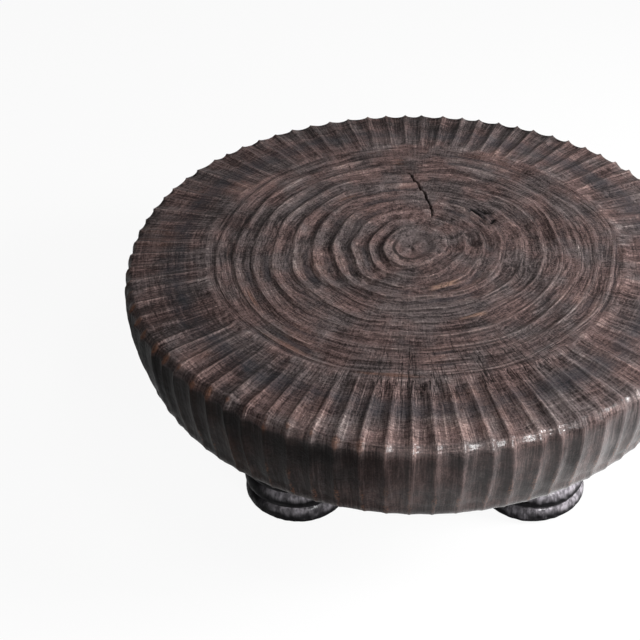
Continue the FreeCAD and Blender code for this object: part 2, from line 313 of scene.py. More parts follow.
# One row of the ringed part: its angles, radii, heights over the top's level, wear and hollow.
def ringRow(phase, columns):
    angle = ridgeAngles(columns)
    angle, aside, ends = bendToCrack(angle, crestRadius(phase, angle))
    radius = crestRadius(phase, angle)
    share = radius / rimRadius
    inside = phase - math.floor(phase)
    drop, low, change = gougeCut(phase, angle, inside ** rings["steepness"])
    if phase > rings["border"]:
        drop = drop * rings["borderShare"]
    if phase < 1:
        drop, low = rings["discDepth"] * (1 - smooth(*rings["discRise"], phase)), rings["discHollow"]
    crest = rings["crestHeight"] * (hump(inside, 0, rings["crestWidth"]) + hump(inside, 1, rings["crestWidth"]))
    drop = drop - crest * (1 - smooth(10.2, 10.6, phase))
    gash = hump(np.degrees(turnFrom(angle, math.radians(torn["at"]))), 0, torn["halfTurn"])
    gash = smooth(0.15, 0.55, gash * hump(share, torn["place"], torn["halfWidth"]))
    gash = gash * smooth(-0.2, 0.6, fieldNoise(angle, radius, waves=34, perUnit=120, seed=25))
    drop = drop + torn["depth"] * gash
    split = ends * np.exp(-(aside / crack["halfWidth"]) ** 2)
    hollow = np.clip(low * (0.8 + 0.2 * change) + torn["dark"] * gash, 0, 2.0)
    wear = np.clip(hump(inside, 0, rings["wornWidth"]) + hump(inside, 1, rings["wornWidth"]), 0, 1)
    wear = wear * (1 if phase >= 0.9 else rings["discWear"])
    wear = wear * smooth(-0.6, 1.2, fieldNoise(angle, phase, waves=8, perUnit=0.5, seed=26))
    wear = wear * (1 - smooth(10.3, 10.6, phase))
    lipWear, lipAt, lipWidth, lipToward, lipTurn = rings["discLip"]
    wear = wear + lipWear * hump(phase, lipAt, lipWidth) * hump(np.degrees(angle) % 360, lipToward, lipTurn)
    crease = rings["creases"] * fieldNoise(angle, radius, waves=60, perUnit=150, seed=27)
    crease = crease * (1 - 0.5 * min(phase / rings["border"], 1.0)) * smooth(0.10, 0.20, share)
    second = np.abs(fieldNoise(angle, phase, waves=5, perUnit=1.1, seed=29))
    height = -drop + crease - split * crack["depth"]
    height = height - rings["secondCuts"] * np.exp(-second / 0.22) * band(phase, 1.2, 2.5, 10, 10.8)
    height = height + slab["topWave"] * fieldNoise(angle, radius, waves=4, perUnit=5, seed=31)
    return angle, radius, height, wear, np.maximum(hollow, 2.2 * split), np.full_like(angle, phase)


# Rows of the ringed part from the centre outwards, with fewer columns near the centre.
def ringedTop():
    rows = [(np.zeros(1),) * 6]
    disc = np.linspace(0, 1, rings["discRows"] + 1)[1:-1]
    ringed = np.linspace(1, rings["border"] + 1, rings["border"] * rings["rowsPerRing"] + 1)
    for phase in np.concatenate([disc, ringed]):
        thin = 4 if phase < 1.5 else 2 if phase < 10.6 else 1
        columns = np.arange(0, slab["flutes"] * slab["stepsPerFlute"], thin) / slab["stepsPerFlute"]
        rows.append(ringRow(phase, columns))
    return rows


# Plain profile from the flutes' inner ends, over the rim, down the side and in under the slab.
# Each row has a radius, a drop and the normal's outward and upward parts.
# The second result has the corner's rows once more, as a keen edge, and the third tells which they are.
def edgeProfile():
    rim, corner, keen = sideRadius(0.0), slab["rimRounding"], slab["rimKeen"]
    start = crestShares[-1] * rimRadius
    level = np.concatenate([start + np.linspace(0.0026, 0.030, 11),
                            np.linspace(0.355, rim - corner - 0.0022, 22)])
    profile = [(radius, 0.0, 0.0, 1.0) for radius in level]
    sharp = []
    for turn in np.radians([8, 26, 45, 64, 82]):
        sine, cosine = math.sin(turn), math.cos(turn)
        profile.append((rim - corner + corner * sine ** slab["cornerFullness"],
                        corner - corner * cosine ** slab["cornerFullness"], sine, cosine))
        sharp.append((rim - keen * (1 - sine), keen * (1 - cosine)))
    side = np.linspace(0.0245, slab["shoulderDrop"], 21)
    for drop in np.concatenate([np.linspace(corner + 0.002, 0.020, 6), side]):
        lean = (slab["widestDrop"] - drop) / slab["sideCurve"]
        profile.append((float(sideRadius(drop)), drop, math.sqrt(1 - lean * lean), lean))
    fromRadius, fromDrop = profile[-1][:2]
    wide, tall = fromRadius - slab["undersideRadius"], slabTop - slabBase - fromDrop
    for turn in np.radians([14, 27, 40, 53, 66, 80, 90]):
        profile.append((slab["undersideRadius"] + wide * math.cos(turn), fromDrop + tall * math.sin(turn),
                        math.cos(turn) * 0.93, -0.35 - 0.65 * math.sin(turn)))
    return np.array(profile), np.array(sharp), slice(len(level), len(level) + len(sharp))


# The fluted edge, all rows at once. A flute is a gouge's hollow between two ridges, which opens at a
# rounded inner end, follows the rim round and runs out low on the side.
def flutedEdge():
    rim = sideRadius(0.0)
    profile, sharp, cornerRows = edgeProfile()
    run = profile[0, 0] + np.concatenate([[0], np.cumsum(np.hypot(*np.diff(profile[:, :2], axis=0).T))])
    runs = run[:, None]
    columns = np.arange(slab["flutes"] * slab["stepsPerFlute"]) / slab["stepsPerFlute"]
    across = (2 * (columns - np.floor(columns)) - 1)[None, :]
    angle = ridgeAngles(columns)[None, :]
    radius, drop, outward, upward = (profile[:, [part]] + 0 * angle for part in range(4))
    keen = smooth(-0.15, 0.70, np.cos(angle - math.radians(slab["keenAt"])))
    radius[cornerRows] += keen * (sharp[:, :1] - radius[cornerRows])
    drop[cornerRows] += keen * (sharp[:, 1:] - drop[cornerRows])

    fade = smooth(0.335, 0.36, runs) * (1 - 0.55 * smooth(rim + 0.05, rim + 0.14, runs))
    bent = angle + ridgeWander(columns, run) * fade
    degrees = np.degrees(bent) % 360
    strength = 1 + slab["fluteUneven"] * perFlute(columns, 41)[None, :]
    calmAt, calmWidth, calmShare = slab["calm"]
    calm = 1 - calmShare * hump(degrees, calmAt, calmWidth) * smooth(rim + 0.05, rim - 0.03, runs)
    tip = slab["fluteStart"] + 0.004 * perFlute(columns, 42)[None, :] + 0.009 * across ** 2
    opened = smooth(0, 0.012, runs - tip)
    inner, atRim, side = slab["fluteDepths"]
    along = np.interp(run, [0.32, 0.36, rim - 0.02, rim, rim + 0.02, rim + 0.085, rim + 0.125, rim + 0.15],
                      [inner, inner * 1.25, atRim, atRim * 1.05, side, side * 0.90, side * 0.25, 0.0])[:, None]
    lean = 0.16 * perFlute(columns, 43)[None, :] + 0.10
    onTop, lessBelow = slab["fluteFullness"]
    fullness = onTop - lessBelow * smooth(rim - 0.010, rim + 0.020, runs)
    bowl = 1 - np.abs(across + lean * (1 - across ** 2)) ** fullness
    cut = along * strength * calm * opened * (0.86 * bowl + 0.14 * (0.5 + 0.5 * np.cos(math.pi * across)))
    cut = cut * (1 + 0.07 * fieldNoise(bent, runs, waves=60, perUnit=22, seed=44))
    lip = slab["lipHeight"] * hump(runs - tip, 0.001, 0.0045) * (1 - across ** 2)
    ridgeLine = slab["ridgeHeight"] * hump(np.abs(across), 1, 0.12) * smooth(0.345, 0.37, runs)
    worn = slab["ridgeWorn"] * (1 + 0.8 * perFlute(columns, 45)[None, :])
    worn = worn * hump(runs, rim - 0.001, 0.010) * (1 - keen) * hump(np.abs(across), 1, 0.5)
    wave = np.where(runs < rim - 0.002, slab["topWave"], slab["sideWave"])
    wave = wave * fieldNoise(bent, runs, waves=4, perUnit=5, seed=31)
    chatter = slab["chatter"] * fieldNoise(bent, runs, waves=160, perUnit=70, seed=46)
    height = -cut + lip + ridgeLine - worn + wave + chatter
    dentAt, dentWidth, dentDepth = slab["dent"]
    dent = dentDepth * hump(degrees, dentAt, dentWidth) * band(runs, 0.40, rim, rim + 0.06, rim + 0.15)
    size = np.hypot(outward, upward)
    pushed = radius + height * outward / size - dent
    lowered = -drop + height * upward / size
    hollow = np.clip(bowl * opened * (0.55 + 0.45 * strength) * 0.8, 0, 1)
    return bent, pushed, lowered, *edgeMarks(bent, degrees, runs, across, hollow, rim), run


# Wear and hollow of the fluted edge: rubbed ridges and rim, soot and painted shade in the flutes, painted
# shade and highlight lines on the flutes at the left, and painted shade in the right part of the side's flutes.
def edgeMarks(bent, degrees, runs, across, hollow, rim):
    ridge = hump(np.abs(across), 1, 0.20)
    patchy = smooth(-0.3, 1.3, fieldNoise(bent, runs, waves=26, perUnit=26, seed=47))
    wear = ridge * (0.30 + 0.55 * patchy) * smooth(0.338, 0.352, runs)
    wear = wear + hump(runs, rim - 0.001, 0.011) * (0.35 + 0.75 * ridge) * patchy
    wear = np.clip(wear, 0, 1.4) * (1 - 0.85 * smooth(rim + 0.008, rim + 0.03, runs))
    # At the left, a painted shade line beside each ridge and a painted highlight along it.
    leftAt, leftWidth, leftPaintedShade, leftPaintedHighlight = slab["leftPaintedRelief"]
    left = hump(degrees, leftAt, leftWidth) * band(runs, 0.335, 0.350, rim - 0.004, rim + 0.002)
    hollow = hollow + leftPaintedShade * left * hump(across, 0.80, 0.12)
    wear = wear + leftPaintedHighlight * left * hump(np.abs(across), 1, 0.12)
    below = smooth(rim + 0.004, rim + 0.02, runs)
    paintedFluteShade = 0.30 + 0.75 * smooth(-0.8, 0.9, across)      # painted shade lies to the right in the side's flutes
    hollow = hollow * (1 - below) + paintedFluteShade * below * (1 - 0.5 * smooth(rim + 0.10, rim + 0.14, runs))
    return wear, hollow


# One closed skin: the ringed top, the fluted edge and a flat underside, joined row to row.
def burntSlab(material):
    points, counts = [], []
    marks = {"wear": [], "hollow": [], "run": [], "ring": []}

    def addRow(angle, radius, level, *values):
        counts.append(len(angle))
        points.append(np.stack([radius * np.cos(angle), radius * np.sin(angle), level], 1))
        for row, value in zip(marks.values(), values):
            row.append(value)

    for angle, radius, height, wear, hollow, ring in ringedTop():
        addRow(angle, radius, slabTop + height, wear, hollow, radius, ring)
    bent, pushed, lowered, wear, hollow, run = flutedEdge()
    lowered[-1] = slabBase - slabTop
    for row in range(len(run)):
        level = np.maximum(slabTop + lowered[row], slabBase)
        ring = len(crestShares) - 1 + (run[row] - run[0]) / rings["pitch"]
        addRow(bent[row], pushed[row], level, wear[row], hollow[row], np.full_like(level, run[row]),
               np.full_like(level, ring))
    for share, thin in ((0.97, 2), (0.9, 4), (0.6, 4), (0.3, 4)):
        angle = bent[-1][::thin]
        flat = np.zeros_like(angle)
        addRow(angle, pushed[-1][::thin] * share, flat + slabBase, flat, flat + 0.3, flat + run[-1] + share,
               flat + ring)
    none = np.zeros(1)
    addRow(none, none, none + slabBase, none, none, none + 1, none + ring)
    marks = {key: np.concatenate(rows) for key, rows in marks.items()}
    return meshFrom("burntSlab", np.concatenate(points), ringFaces(counts), marks, material)


# One material as a node tree: each call adds a node, links what it is given and returns its output.
class Chain:
    def __init__(self, name):
        self.material = bpy.data.materials.new(name)
        self.material.use_nodes = True
        self.tree = self.material.node_tree
        self.shader = self.tree.nodes["Principled BSDF"]

    def add(self, kind, **inputs):
        node = self.tree.nodes.new(kind)
        for key, value in inputs.items():
            self.put(node.inputs[key], value)
        return node

    # Links an output to a socket, or sets a plain value on it.
    def put(self, socket, value):
        if hasattr(value, "is_output"):
            self.tree.links.new(value, socket)
        else:
            socket.default_value = value

    # Sets the shader's own inputs by their names.
    def finish(self, values):
        for key, value in values.items():
            self.put(self.shader.inputs[key], value)
        return self.material

    def math(self, operation, *values):
        node = self.add("ShaderNodeMath")
        node.operation = operation
        for socket, value in zip(node.inputs, values):
            self.put(socket, value)
        return node.outputs[0]

    def times(self, first, *others):
        for other in others:
            first = self.math("MULTIPLY", first, other)
        return first

    def most(self, first, *others):
        for other in others:
            first = self.math("MAXIMUM", first, other)
        return first

    # value * factor + extra
    def line(self, value, factor, extra):
        return self.math("MULTIPLY_ADD", value, factor, extra)

    # Smooth step between low and high, from the first value to the last.
    def span(self, value, low, high, first=0.0, last=1.0):
        node = self.add("ShaderNodeMapRange")
        node.interpolation_type = "SMOOTHSTEP"
        for socket, item in zip(node.inputs, (value, low, high, first, last)):
            self.put(socket, item)
        return node.outputs[0]

    # Rises, is full, fades and is gone.
    def band(self, value, rise, full, fade, gone):
        return self.times(self.span(value, rise, full), self.span(value, gone, fade))

    def mix(self, share, first, second, blend="MIX"):
        node = self.add("ShaderNodeMix")
        node.data_type = "RGBA"
        node.blend_type = blend
        for key, value in (("Factor", share), ("A", first), ("B", second)):
            self.put(node.inputs[key], value)
        return node.outputs["Result"]

    def noise(self, vector, scale, detail=2.0, rough=0.5):
        return self.add("ShaderNodeTexNoise", Vector=vector, Scale=scale, Detail=detail,
                        Roughness=rough).outputs["Fac"]

    def attribute(self, name):
        node = self.add("ShaderNodeAttribute")
        node.attribute_name = name
        return node.outputs["Fac"]

    def vector(self, x, y, z):
        return self.add("ShaderNodeCombineXYZ", X=x, Y=y, Z=z).outputs[0]

    # Object coordinates, as a vector and one by one.
    def place(self):
        where = self.add("ShaderNodeTexCoord").outputs["Object"]
        split = self.add("ShaderNodeSeparateXYZ", Vector=where)
        return where, *(split.outputs[axis] for axis in "XYZ")

    def bump(self, height, strength, distance):
        return self.add("ShaderNodeBump", Height=height, Strength=strength, Distance=distance).outputs[0]


def colour(red, green, blue):
    return (red, green, blue, 1.0)


burnt = {
    "char": colour(0.0150, 0.0106, 0.0100),
    "dark": colour(0.038, 0.0268, 0.0262),
    "wood": colour(0.132, 0.0950, 0.0915),
    "pale": colour(0.330, 0.250, 0.232),
    "rust": colour(0.215, 0.100, 0.062),
    "bare": colour(0.310, 0.190, 0.140),
    "soot": colour(0.0200, 0.0225, 0.0280),
    "pit": colour(0.0030, 0.0025, 0.0025),
    "coolCast": colour(0.90, 1.00, 1.02),
    "warmCast": colour(1.07, 0.985, 0.955),
    "level": 0.64,             # lightness before grain and hollows
    # soot and painted shade in the hollows
    "hollowShade": -0.18,
    "frontLight": 0.15,        # on the flutes
    "leftShade": (0.30, 0.17),         # painted shade on the left, on the side and on the flutes
    "sideShade": (0.02, -0.25),        # painted shade on the side: its change towards the front right, and its mean
    "swings": {"growth": 1.2, "fineCuts": 0.8, "rays": 1.1, "hairs": 1.0, "specks": 1.3, "patches": 0.6,
               "blotch": 0.8},         # how far each grain changes the lightness
    "tones": (("dark", 0.0, 0.34), ("wood", 0.24, 0.72), ("pale", 0.70, 1.20)),      # by lightness, over char
    "wearShare": 0.28,
    "rustShares": {"rim": 0.8, "patches": 0.16, "strokes": 0.55, "lowSide": 0.7},
    "bareShare": 0.75,
    "sootShares": {"band": 0.62, "hollows": 0.60},
    "lineShares": {"cuts": 0.62, "fineCuts": 0.40, "rays": 0.42, "checks": 0.9, "paintedLeftEndShade": 0.80},
    "specksPerMetre": 330.0,
    "relief": {"growth": 0.60, "fineCuts": 0.30, "rays": 0.60, "hairs": 0.35, "specks": 0.60, "lines": -0.30},
    "reliefDepth": 0.0032,
    "bump": (0.8, 0.10),       # of the wood and of its wax
}

# Grains: streaks per radian of turn, cells per ring or per metre of run, detail and roughness.
ringGrains = {"growth": (2.6, 8.0, 4.0, 0.62), "cuts": (3.4, 2.6, 3.0, 0.62), "fineCuts": (9.0, 8.0, 2.0, 0.6)}
runGrains = {"rays": (95.0, 14.0, 4.0, 0.62), "hairs": (200.0, 32.0, 2.0, 0.6),
             "blotch": (5.0, 22.0, 4.0, 0.65), "crazing": (34.0, 9.0, 3.0, 0.6)}

# Zones along the run, in metres from the centre over the rim: they fade between two values, or rise,
# are full, fade and are gone.
zones = {
    "rings": (0.322, 0.312),
    "flutes": (0.31, 0.35),
    "outerFlutes": (0.37, 0.42),
    "side": (0.446, 0.470),
    "pastMiddle": (0.030, 0.070),      # rays fade out towards the centre disc
    "corner": (0.432, 0.443, 0.450, 0.468),
    "lowSide": (0.500, 0.540, 0.565, 0.590),
    "sootBand": (0.346, 0.368, 0.380, 0.400),
    "checked": (0.170, 0.270, 0.340, 0.385),
    "brow": (0.451, 0.459, 0.474, 0.508),
}

# Sectors of the table: degrees, and the cosines from there between which each fades in.
sectors = {
    "left": (195, 0.20, 0.95),
    "rustyRim": (225, 0.72, 0.93),
    "checked": (283, 0.82, 0.95),
    "dish": (215, -0.2, 0.7),
    "brow": (225, 0.70, 0.93),
    "paintedLeftEndShade": (193, 0.72, 0.96),
    "waxedCrests": (315, 0.80, 0.97),
    "waxed": (305, 0.45, 0.85),
    "sheen": (312, 0.60, 0.97),
}

# Strokes seen on the top: degrees round, then radius, half length round and half width, in rim radii.
strokes = {
    "check": [(111.5, 0.605, 0.0030, 0.020), (113.0, 0.415, 0.0016, 0.035)],
    "rubbed": [(180, 0.635, 0.070, 0.016), (209, 0.620, 0.080, 0.020), (93, 0.595, 0.035, 0.030),
               (125, 0.397, 0.060, 0.011), (232, 0.680, 0.120, 0.016), (101, 0.680, 0.030, 0.010),
               (262, 0.700, 0.130, 0.012)],
    "bare": [(293, 0.448, 0.060, 0.012), (292, 0.260, 0.065, 0.013)],
}


# Charred end grain: growth rings that run round, rays that run outwards, rubbed crests, soot, and painted shade
# in the hollows, on the side and at the left.
def burntWood():
    c = Chain("burntWood")
    where, x, y, _ = c.place()
    radius = c.math("SQRT", c.math("ADD", c.times(x, x), c.times(y, y)))
    safe = c.most(radius, 0.002)
    roundX, roundY = c.math("DIVIDE", x, safe), c.math("DIVIDE", y, safe)
    run, ring, wear, hollow = (c.attribute(name) for name in ("run", "ring", "wear", "hollow"))

    # Noise stretched round or along: streaks per radian of turn, and cells along the run or the rings.
    def streaks(along, perTurn, cells, detail, rough):
        place = c.vector(c.times(roundX, perTurn), c.times(roundY, perTurn), c.times(along, cells))
        return c.noise(place, 1.0, detail, rough)

    # Distance along one direction, or the cosine from it, by whether places or directions are given.
    def toward(degrees, px=roundX, py=roundY):
        turn = math.radians(degrees)
        return c.line(px, math.cos(turn), c.times(py, math.sin(turn)))

    def zone(name, *ends):
        return c.band(run, *zones[name]) if len(zones[name]) == 4 else c.span(run, *zones[name], *ends)

    def sector(name, *ends):
        degrees, low, high = sectors[name]
        return c.span(toward(degrees), low, high, *ends)

    # A soft stroke: a smooth step from each side, along the ring and across it.
    def stroke(degrees, place, halfLength, halfWidth):
        across = c.math("ABSOLUTE", c.math("SUBTRACT", toward(degrees, x, y), place * rimRadius))
        along = c.math("ABSOLUTE", toward(degrees + 90, x, y))
        ends = c.span(along, halfLength * rimRadius, halfLength * rimRadius * 0.3)
        sides = c.span(across, halfWidth * rimRadius, halfWidth * rimRadius * 0.3)
        return c.times(ends, sides, c.math("GREATER_THAN", toward(degrees, x, y), 0.0))

    # Dark line of a given strength where a noise passes its middle.
    def crease(noise, width, strength):
        away = c.span(c.math("ABSOLUTE", c.math("SUBTRACT", noise, 0.5)), 0.0, width)
        return c.span(away, 0.0, 1.0, strength, 0.0)

    bentRing = c.line(c.noise(where, 6.0, 3.0), 0.9, ring)
    growth, cuts, fineCuts = (streaks(bentRing, *values) for values in ringGrains.values())
    rays, hairs, blotch, crazing = (streaks(run, *values) for values in runGrains.values())
    specks = c.noise(where, burnt["specksPerMetre"], 3.0, 0.7)
    patches = c.noise(where, 9.0, 4.0, 0.6)

    inRings, onSide = zone("rings"), zone("side")
    offSide = c.math("SUBTRACT", 1.0, onSide)
    growthShare = c.times(offSide, c.line(inRings, 0.40, 0.60), c.span(ring, 0.45, 0.75, 0.45, 1.0))
    rayShare = c.times(c.line(onSide, -0.35, c.line(inRings, -0.60, 1.0)), zone("pastMiddle"))

    # How light the wood is: hollows are darker with soot and painted shade, and each grain swings it about the
    # level by its own amount.
    light = c.line(hollow, burnt["hollowShade"], burnt["level"])
    grains = {"growth": (growth, growthShare), "fineCuts": (fineCuts, growthShare), "rays": (rays, rayShare),
              "hairs": (hairs, rayShare), "specks": (specks, c.line(onSide, -0.55, 1.0)),
              "patches": (patches, 1.0), "blotch": (blotch, 1.0)}
    for name, (grain, share) in grains.items():
        light = c.line(c.times(c.math("SUBTRACT", grain, 0.5), burnt["swings"][name]), share, light)
    light = c.line(c.times(zone("outerFlutes"), toward(258)), burnt["frontLight"], light)
    # Painted shade at the left and over the whole side, a little less towards the front right.
    shade = c.line(onSide, burnt["leftShade"][0], zone("flutes", 0.0, burnt["leftShade"][1]))
    light = c.line(shade, c.times(sector("left"), -1.0), light)
    light = c.line(onSide, c.line(toward(300), *burnt["sideShade"]), light)
    tone = burnt["char"]
    for name, low, high in burnt["tones"]:
        tone = c.mix(c.span(light, low, high), tone, burnt[name])

    # Warm and cool casts in soft patches.
    cool, warm = (c.mix(1.0, tone, burnt[name], "MULTIPLY") for name in ("coolCast", "warmCast"))
    tone = c.mix(c.span(c.noise(where, 15.0, 3.0, 0.55), 0.38, 0.62), cool, warm)

    # Rubbed wood: crests, the rim's corner and a few strokes, broken up by the grain.
    broken = c.span(c.line(rays, 0.6, growth), 0.66, 1.0)
    tone = c.mix(c.times(wear, broken, burnt["wearShare"]), tone, burnt["pale"])
    corner, rusty = zone("corner"), burnt["rustShares"]
    rust = c.times(corner, sector("rustyRim"), c.span(wear, 0.2, 0.9), rusty["rim"])
    rust = c.line(c.span(patches, 0.54, 0.72), rusty["patches"], rust)
    for spot in strokes["rubbed"]:
        rust = c.most(rust, c.times(stroke(*spot), c.span(growth, 0.40, 0.62), rusty["strokes"]))
    for spot in strokes["bare"]:
        bare = c.times(stroke(*spot), c.span(growth, 0.32, 0.52), burnt["bareShare"])
        tone = c.mix(bare, tone, burnt["bare"])
    low = c.times(zone("lowSide"), c.span(wear, 0.02, 0.07), c.span(specks, 0.46, 0.58))
    rust = c.line(low, rusty["lowSide"], rust)
    tone = c.mix(c.times(rust, c.span(specks, 0.30, 0.62, 0.35, 1.0)), tone, burnt["rust"])

    # Soot: a cool charred band on the flutes, and cool patches in the hollows.
    sooty = burnt["sootShares"]
    soot = c.times(zone("sootBand"), c.span(blotch, 0.36, 0.58, 0.25, 1.0), sooty["band"])
    inHollows = c.times(c.span(hollow, 0.55, 1.05), c.span(patches, 0.50, 0.64), offSide, sooty["hollows"])
    tone = c.mix(c.most(soot, inHollows), tone, burnt["soot"])

    # Dark lines: cuts that run round, fibres that run outwards, checks, a line at the foot of each crest that
    # is partly charred and partly painted shade, the rim of the dished centre, a dark brow below the rim at the
    # front left, and painted shade on the left end of the side.
    dark = burnt["lineShares"]
    checks = c.times(crease(crazing, 0.030, 1.0), zone("checked"), sector("checked"),
                     c.span(specks, 0.28, 0.42))
    for spot in strokes["check"]:
        checks = c.most(checks, stroke(*spot))
    # Dark line just outside each crest: partly charred, partly painted shade.
    crestFootCharAndShade = c.band(c.math("FRACT", ring), 0.005, 0.040, 0.075, 0.160)
    lines = c.most(c.times(crease(cuts, 0.030, dark["cuts"]), growthShare),
                   c.times(crease(fineCuts, 0.040, dark["fineCuts"]), growthShare),
                   c.times(crease(rays, 0.026, dark["rays"]), rayShare),
                   c.times(crestFootCharAndShade, inRings, c.span(blotch, 0.40, 0.58, 0.10, 0.75)),
                   c.times(c.band(ring, 0.52, 0.60, 0.66, 0.74), sector("dish", 0.25, 0.85)),
                   c.times(checks, dark["checks"]),
                   c.times(zone("brow"), sector("brow", 0.0, 0.75)),
                   # painted shade on the left end of the side
                   c.times(onSide, sector("paintedLeftEndShade"), dark["paintedLeftEndShade"]))
    tone = c.mix(c.most(c.span(hollow, 1.15, 2.0), lines), tone, burnt["pit"])

    # Gloss: a dry surface with wax on the rim, on rubbed crests and on the side at the front right.
    wax = c.most(corner, c.times(c.span(wear, 0.30, 0.90, 0.0, 0.6), sector("waxedCrests")))
    wax = c.times(wax, sector("waxed"), c.span(patches, 0.40, 0.56, 0.15, 1.0))
    sheen = c.times(onSide, sector("sheen"), c.span(patches, 0.30, 0.6, 0.5, 1.0))
    part = burnt["relief"]
    relief = c.times(c.line(growth, part["growth"], c.times(fineCuts, part["fineCuts"])), growthShare)
    relief = c.line(c.line(rays, part["rays"], c.times(hairs, part["hairs"])), rayShare, relief)
    relief = c.line(lines, part["lines"], c.line(specks, part["specks"], relief))
    return c.finish({
        "Base Color": tone,
        "Roughness": c.line(onSide, -0.08, c.span(rays, 0.35, 0.7, 0.60, 0.42)),
        "Specular IOR Level": 0.05,
        "Coat Weight": c.most(wax, sheen),
        "Coat Roughness": 0.20,
        "Normal": c.bump(relief, burnt["bump"][0], burnt["reliefDepth"]),
        "Coat Normal": c.bump(relief, burnt["bump"][1], burnt["reliefDepth"]),
    })


ebony = {
    "deep": colour(0.0036, 0.0034, 0.0040),
    "line": colour(0.0120, 0.0112, 0.0130),
    "fibre": colour(0.026, 0.023, 0.024),
    "rubbed": colour(0.050, 0.037, 0.033),
    # pale colour of the painted highlight
    "waxAndPaintedSheen": colour(0.420, 0.385, 0.425),
    "lines": (14.0, 260.0),      # cells per metre across and up
    "grain": (130.0, 18.0),
    "smudgesPerMetre": 34.0,
}


# Ebonised and waxed wood: near black, with turning lines round it, cool broken gloss, and a pale painted
# highlight on the ring shoulders that face the front right.
def footWood():
    c = Chain("footWood")
    where, x, y, z = c.place()

    def stretched(aside, up, detail):
        return c.noise(c.vector(c.times(x, aside), c.times(y, aside), c.times(z, up)), 1.0, detail, 0.6)

    lines, grain = stretched(*ebony["lines"], 4.0), stretched(*ebony["grain"], 3.0)
    smudge = c.noise(where, ebony["smudgesPerMetre"], 4.0, 0.6)
    # Wax and a pale painted highlight on those shoulders, broken by smudges and grain.
    waxAndPaintedSheen = c.times(c.span(smudge, 0.34, 0.54, 0.40, 1.0), c.span(grain, 0.38, 0.62, 0.30, 1.0),
                       c.attribute("waxAndSheenFacing"))
    tone = c.mix(c.span(lines, 0.35, 0.70), ebony["deep"], ebony["line"])
    tone = c.mix(c.span(grain, 0.55, 0.80), tone, ebony["fibre"])
    tone = c.mix(c.times(c.span(smudge, 0.60, 0.76), 0.5), tone, ebony["rubbed"])
    tone = c.mix(c.times(waxAndPaintedSheen, 0.85), tone, ebony["waxAndPaintedSheen"])
    bump = c.bump(c.math("ADD", c.times(lines, 0.7), c.times(grain, 0.8)), 0.5, 0.0009)
    return c.finish({
        "Base Color": tone,
        "Roughness": c.span(smudge, 0.30, 0.70, 0.40, 0.60),
        "Specular IOR Level": 0.02,
        "Coat Weight": waxAndPaintedSheen,
        "Coat Roughness": 0.25,
        "Coat IOR": 1.7,
        "Normal": bump,
        "Coat Normal": bump,
    })


# The bolts, the inserts and the pads: tones, then cells per metre of their patches and lines.
zinc = {"tones": (colour(0.42, 0.43, 0.45), colour(0.62, 0.62, 0.62)), "patches": 120.0, "lines": 1400.0,
        "roughness": (0.26, 0.44)}
brass = {"tones": (colour(0.72, 0.50, 0.20), colour(0.42, 0.27, 0.11)), "patches": 160.0, "lines": 1700.0,
         "roughness": (0.24, 0.42)}
felt = {"tones": (colour(0.012, 0.011, 0.011), colour(0.055, 0.051, 0.049)), "patches": 90.0,
        "patchTone": colour(0.028, 0.024, 0.022), "fibres": 900.0, "roughness": 0.95}


# Lines from the lathe up a metal piece, as its roughness.
def turnedRoughness(c, height, metal):
    lines = c.noise(c.vector(0.0, 0.0, c.times(height, metal["lines"])), 1.0, 2.0)
    return c.span(lines, 0.3, 0.7, *metal["roughness"])


# Plated steel with fine turned lines and a faint cloudiness.
def zincSteel():
    c = Chain("zincSteel")
    where, _, _, z = c.place()
    return c.finish({"Base Color": c.mix(c.noise(where, zinc["patches"], 3.0), *zinc["tones"]),
                     "Metallic": 1.0, "Roughness": turnedRoughness(c, z, zinc)})


# Brass with turned lines and a little brown in its hollows.
def machinedBrass():
    c = Chain("machinedBrass")
    where, _, _, z = c.place()
    stain = c.span(c.noise(where, brass["patches"], 3.0), 0.4, 0.7)
    return c.finish({"Base Color": c.mix(stain, *brass["tones"]),
                     "Metallic": 1.0, "Roughness": turnedRoughness(c, z, brass)})


# Dark felt: short crossed fibres, uneven in tone, fully matt.
def pressedFelt():
    c = Chain("pressedFelt")
    where = c.place()[0]
    fibres = c.noise(where, felt["fibres"], 5.0, 0.7)
    clumps = c.noise(where, felt["patches"], 3.0)
    tone = c.mix(c.span(fibres, 0.35, 0.7), *felt["tones"])
    return c.finish({"Base Color": c.mix(c.times(clumps, 0.35), tone, felt["patchTone"]),
                     "Roughness": felt["roughness"], "Normal": c.bump(fibres, 0.6, 0.0008)})


# The feet.
feet = {
    "columns": 132,
    "rings": 5,
    "toeRows": 12,
    "ringRows": 121,
    "toeHeight": 0.028,
    "toeRounding": 0.007,
    "crown": (0.006, 0.004),  # height and depth of the rounding at the top
    "swell": 0.0015,          # rings beyond the plain foot
    "ringEdge": 0.0165,
    "grooveDepth": 0.0090,
    "lift": 0.0011,           # how far the grooves rise and fall round the foot
    "wobble": 0.0006,
    "knife": 0.0002,
    "spread": 0.0005,         # in radius from foot to foot
    "waxAndSheenAt": 295,          # degrees, where the wax and the painted highlight face
}


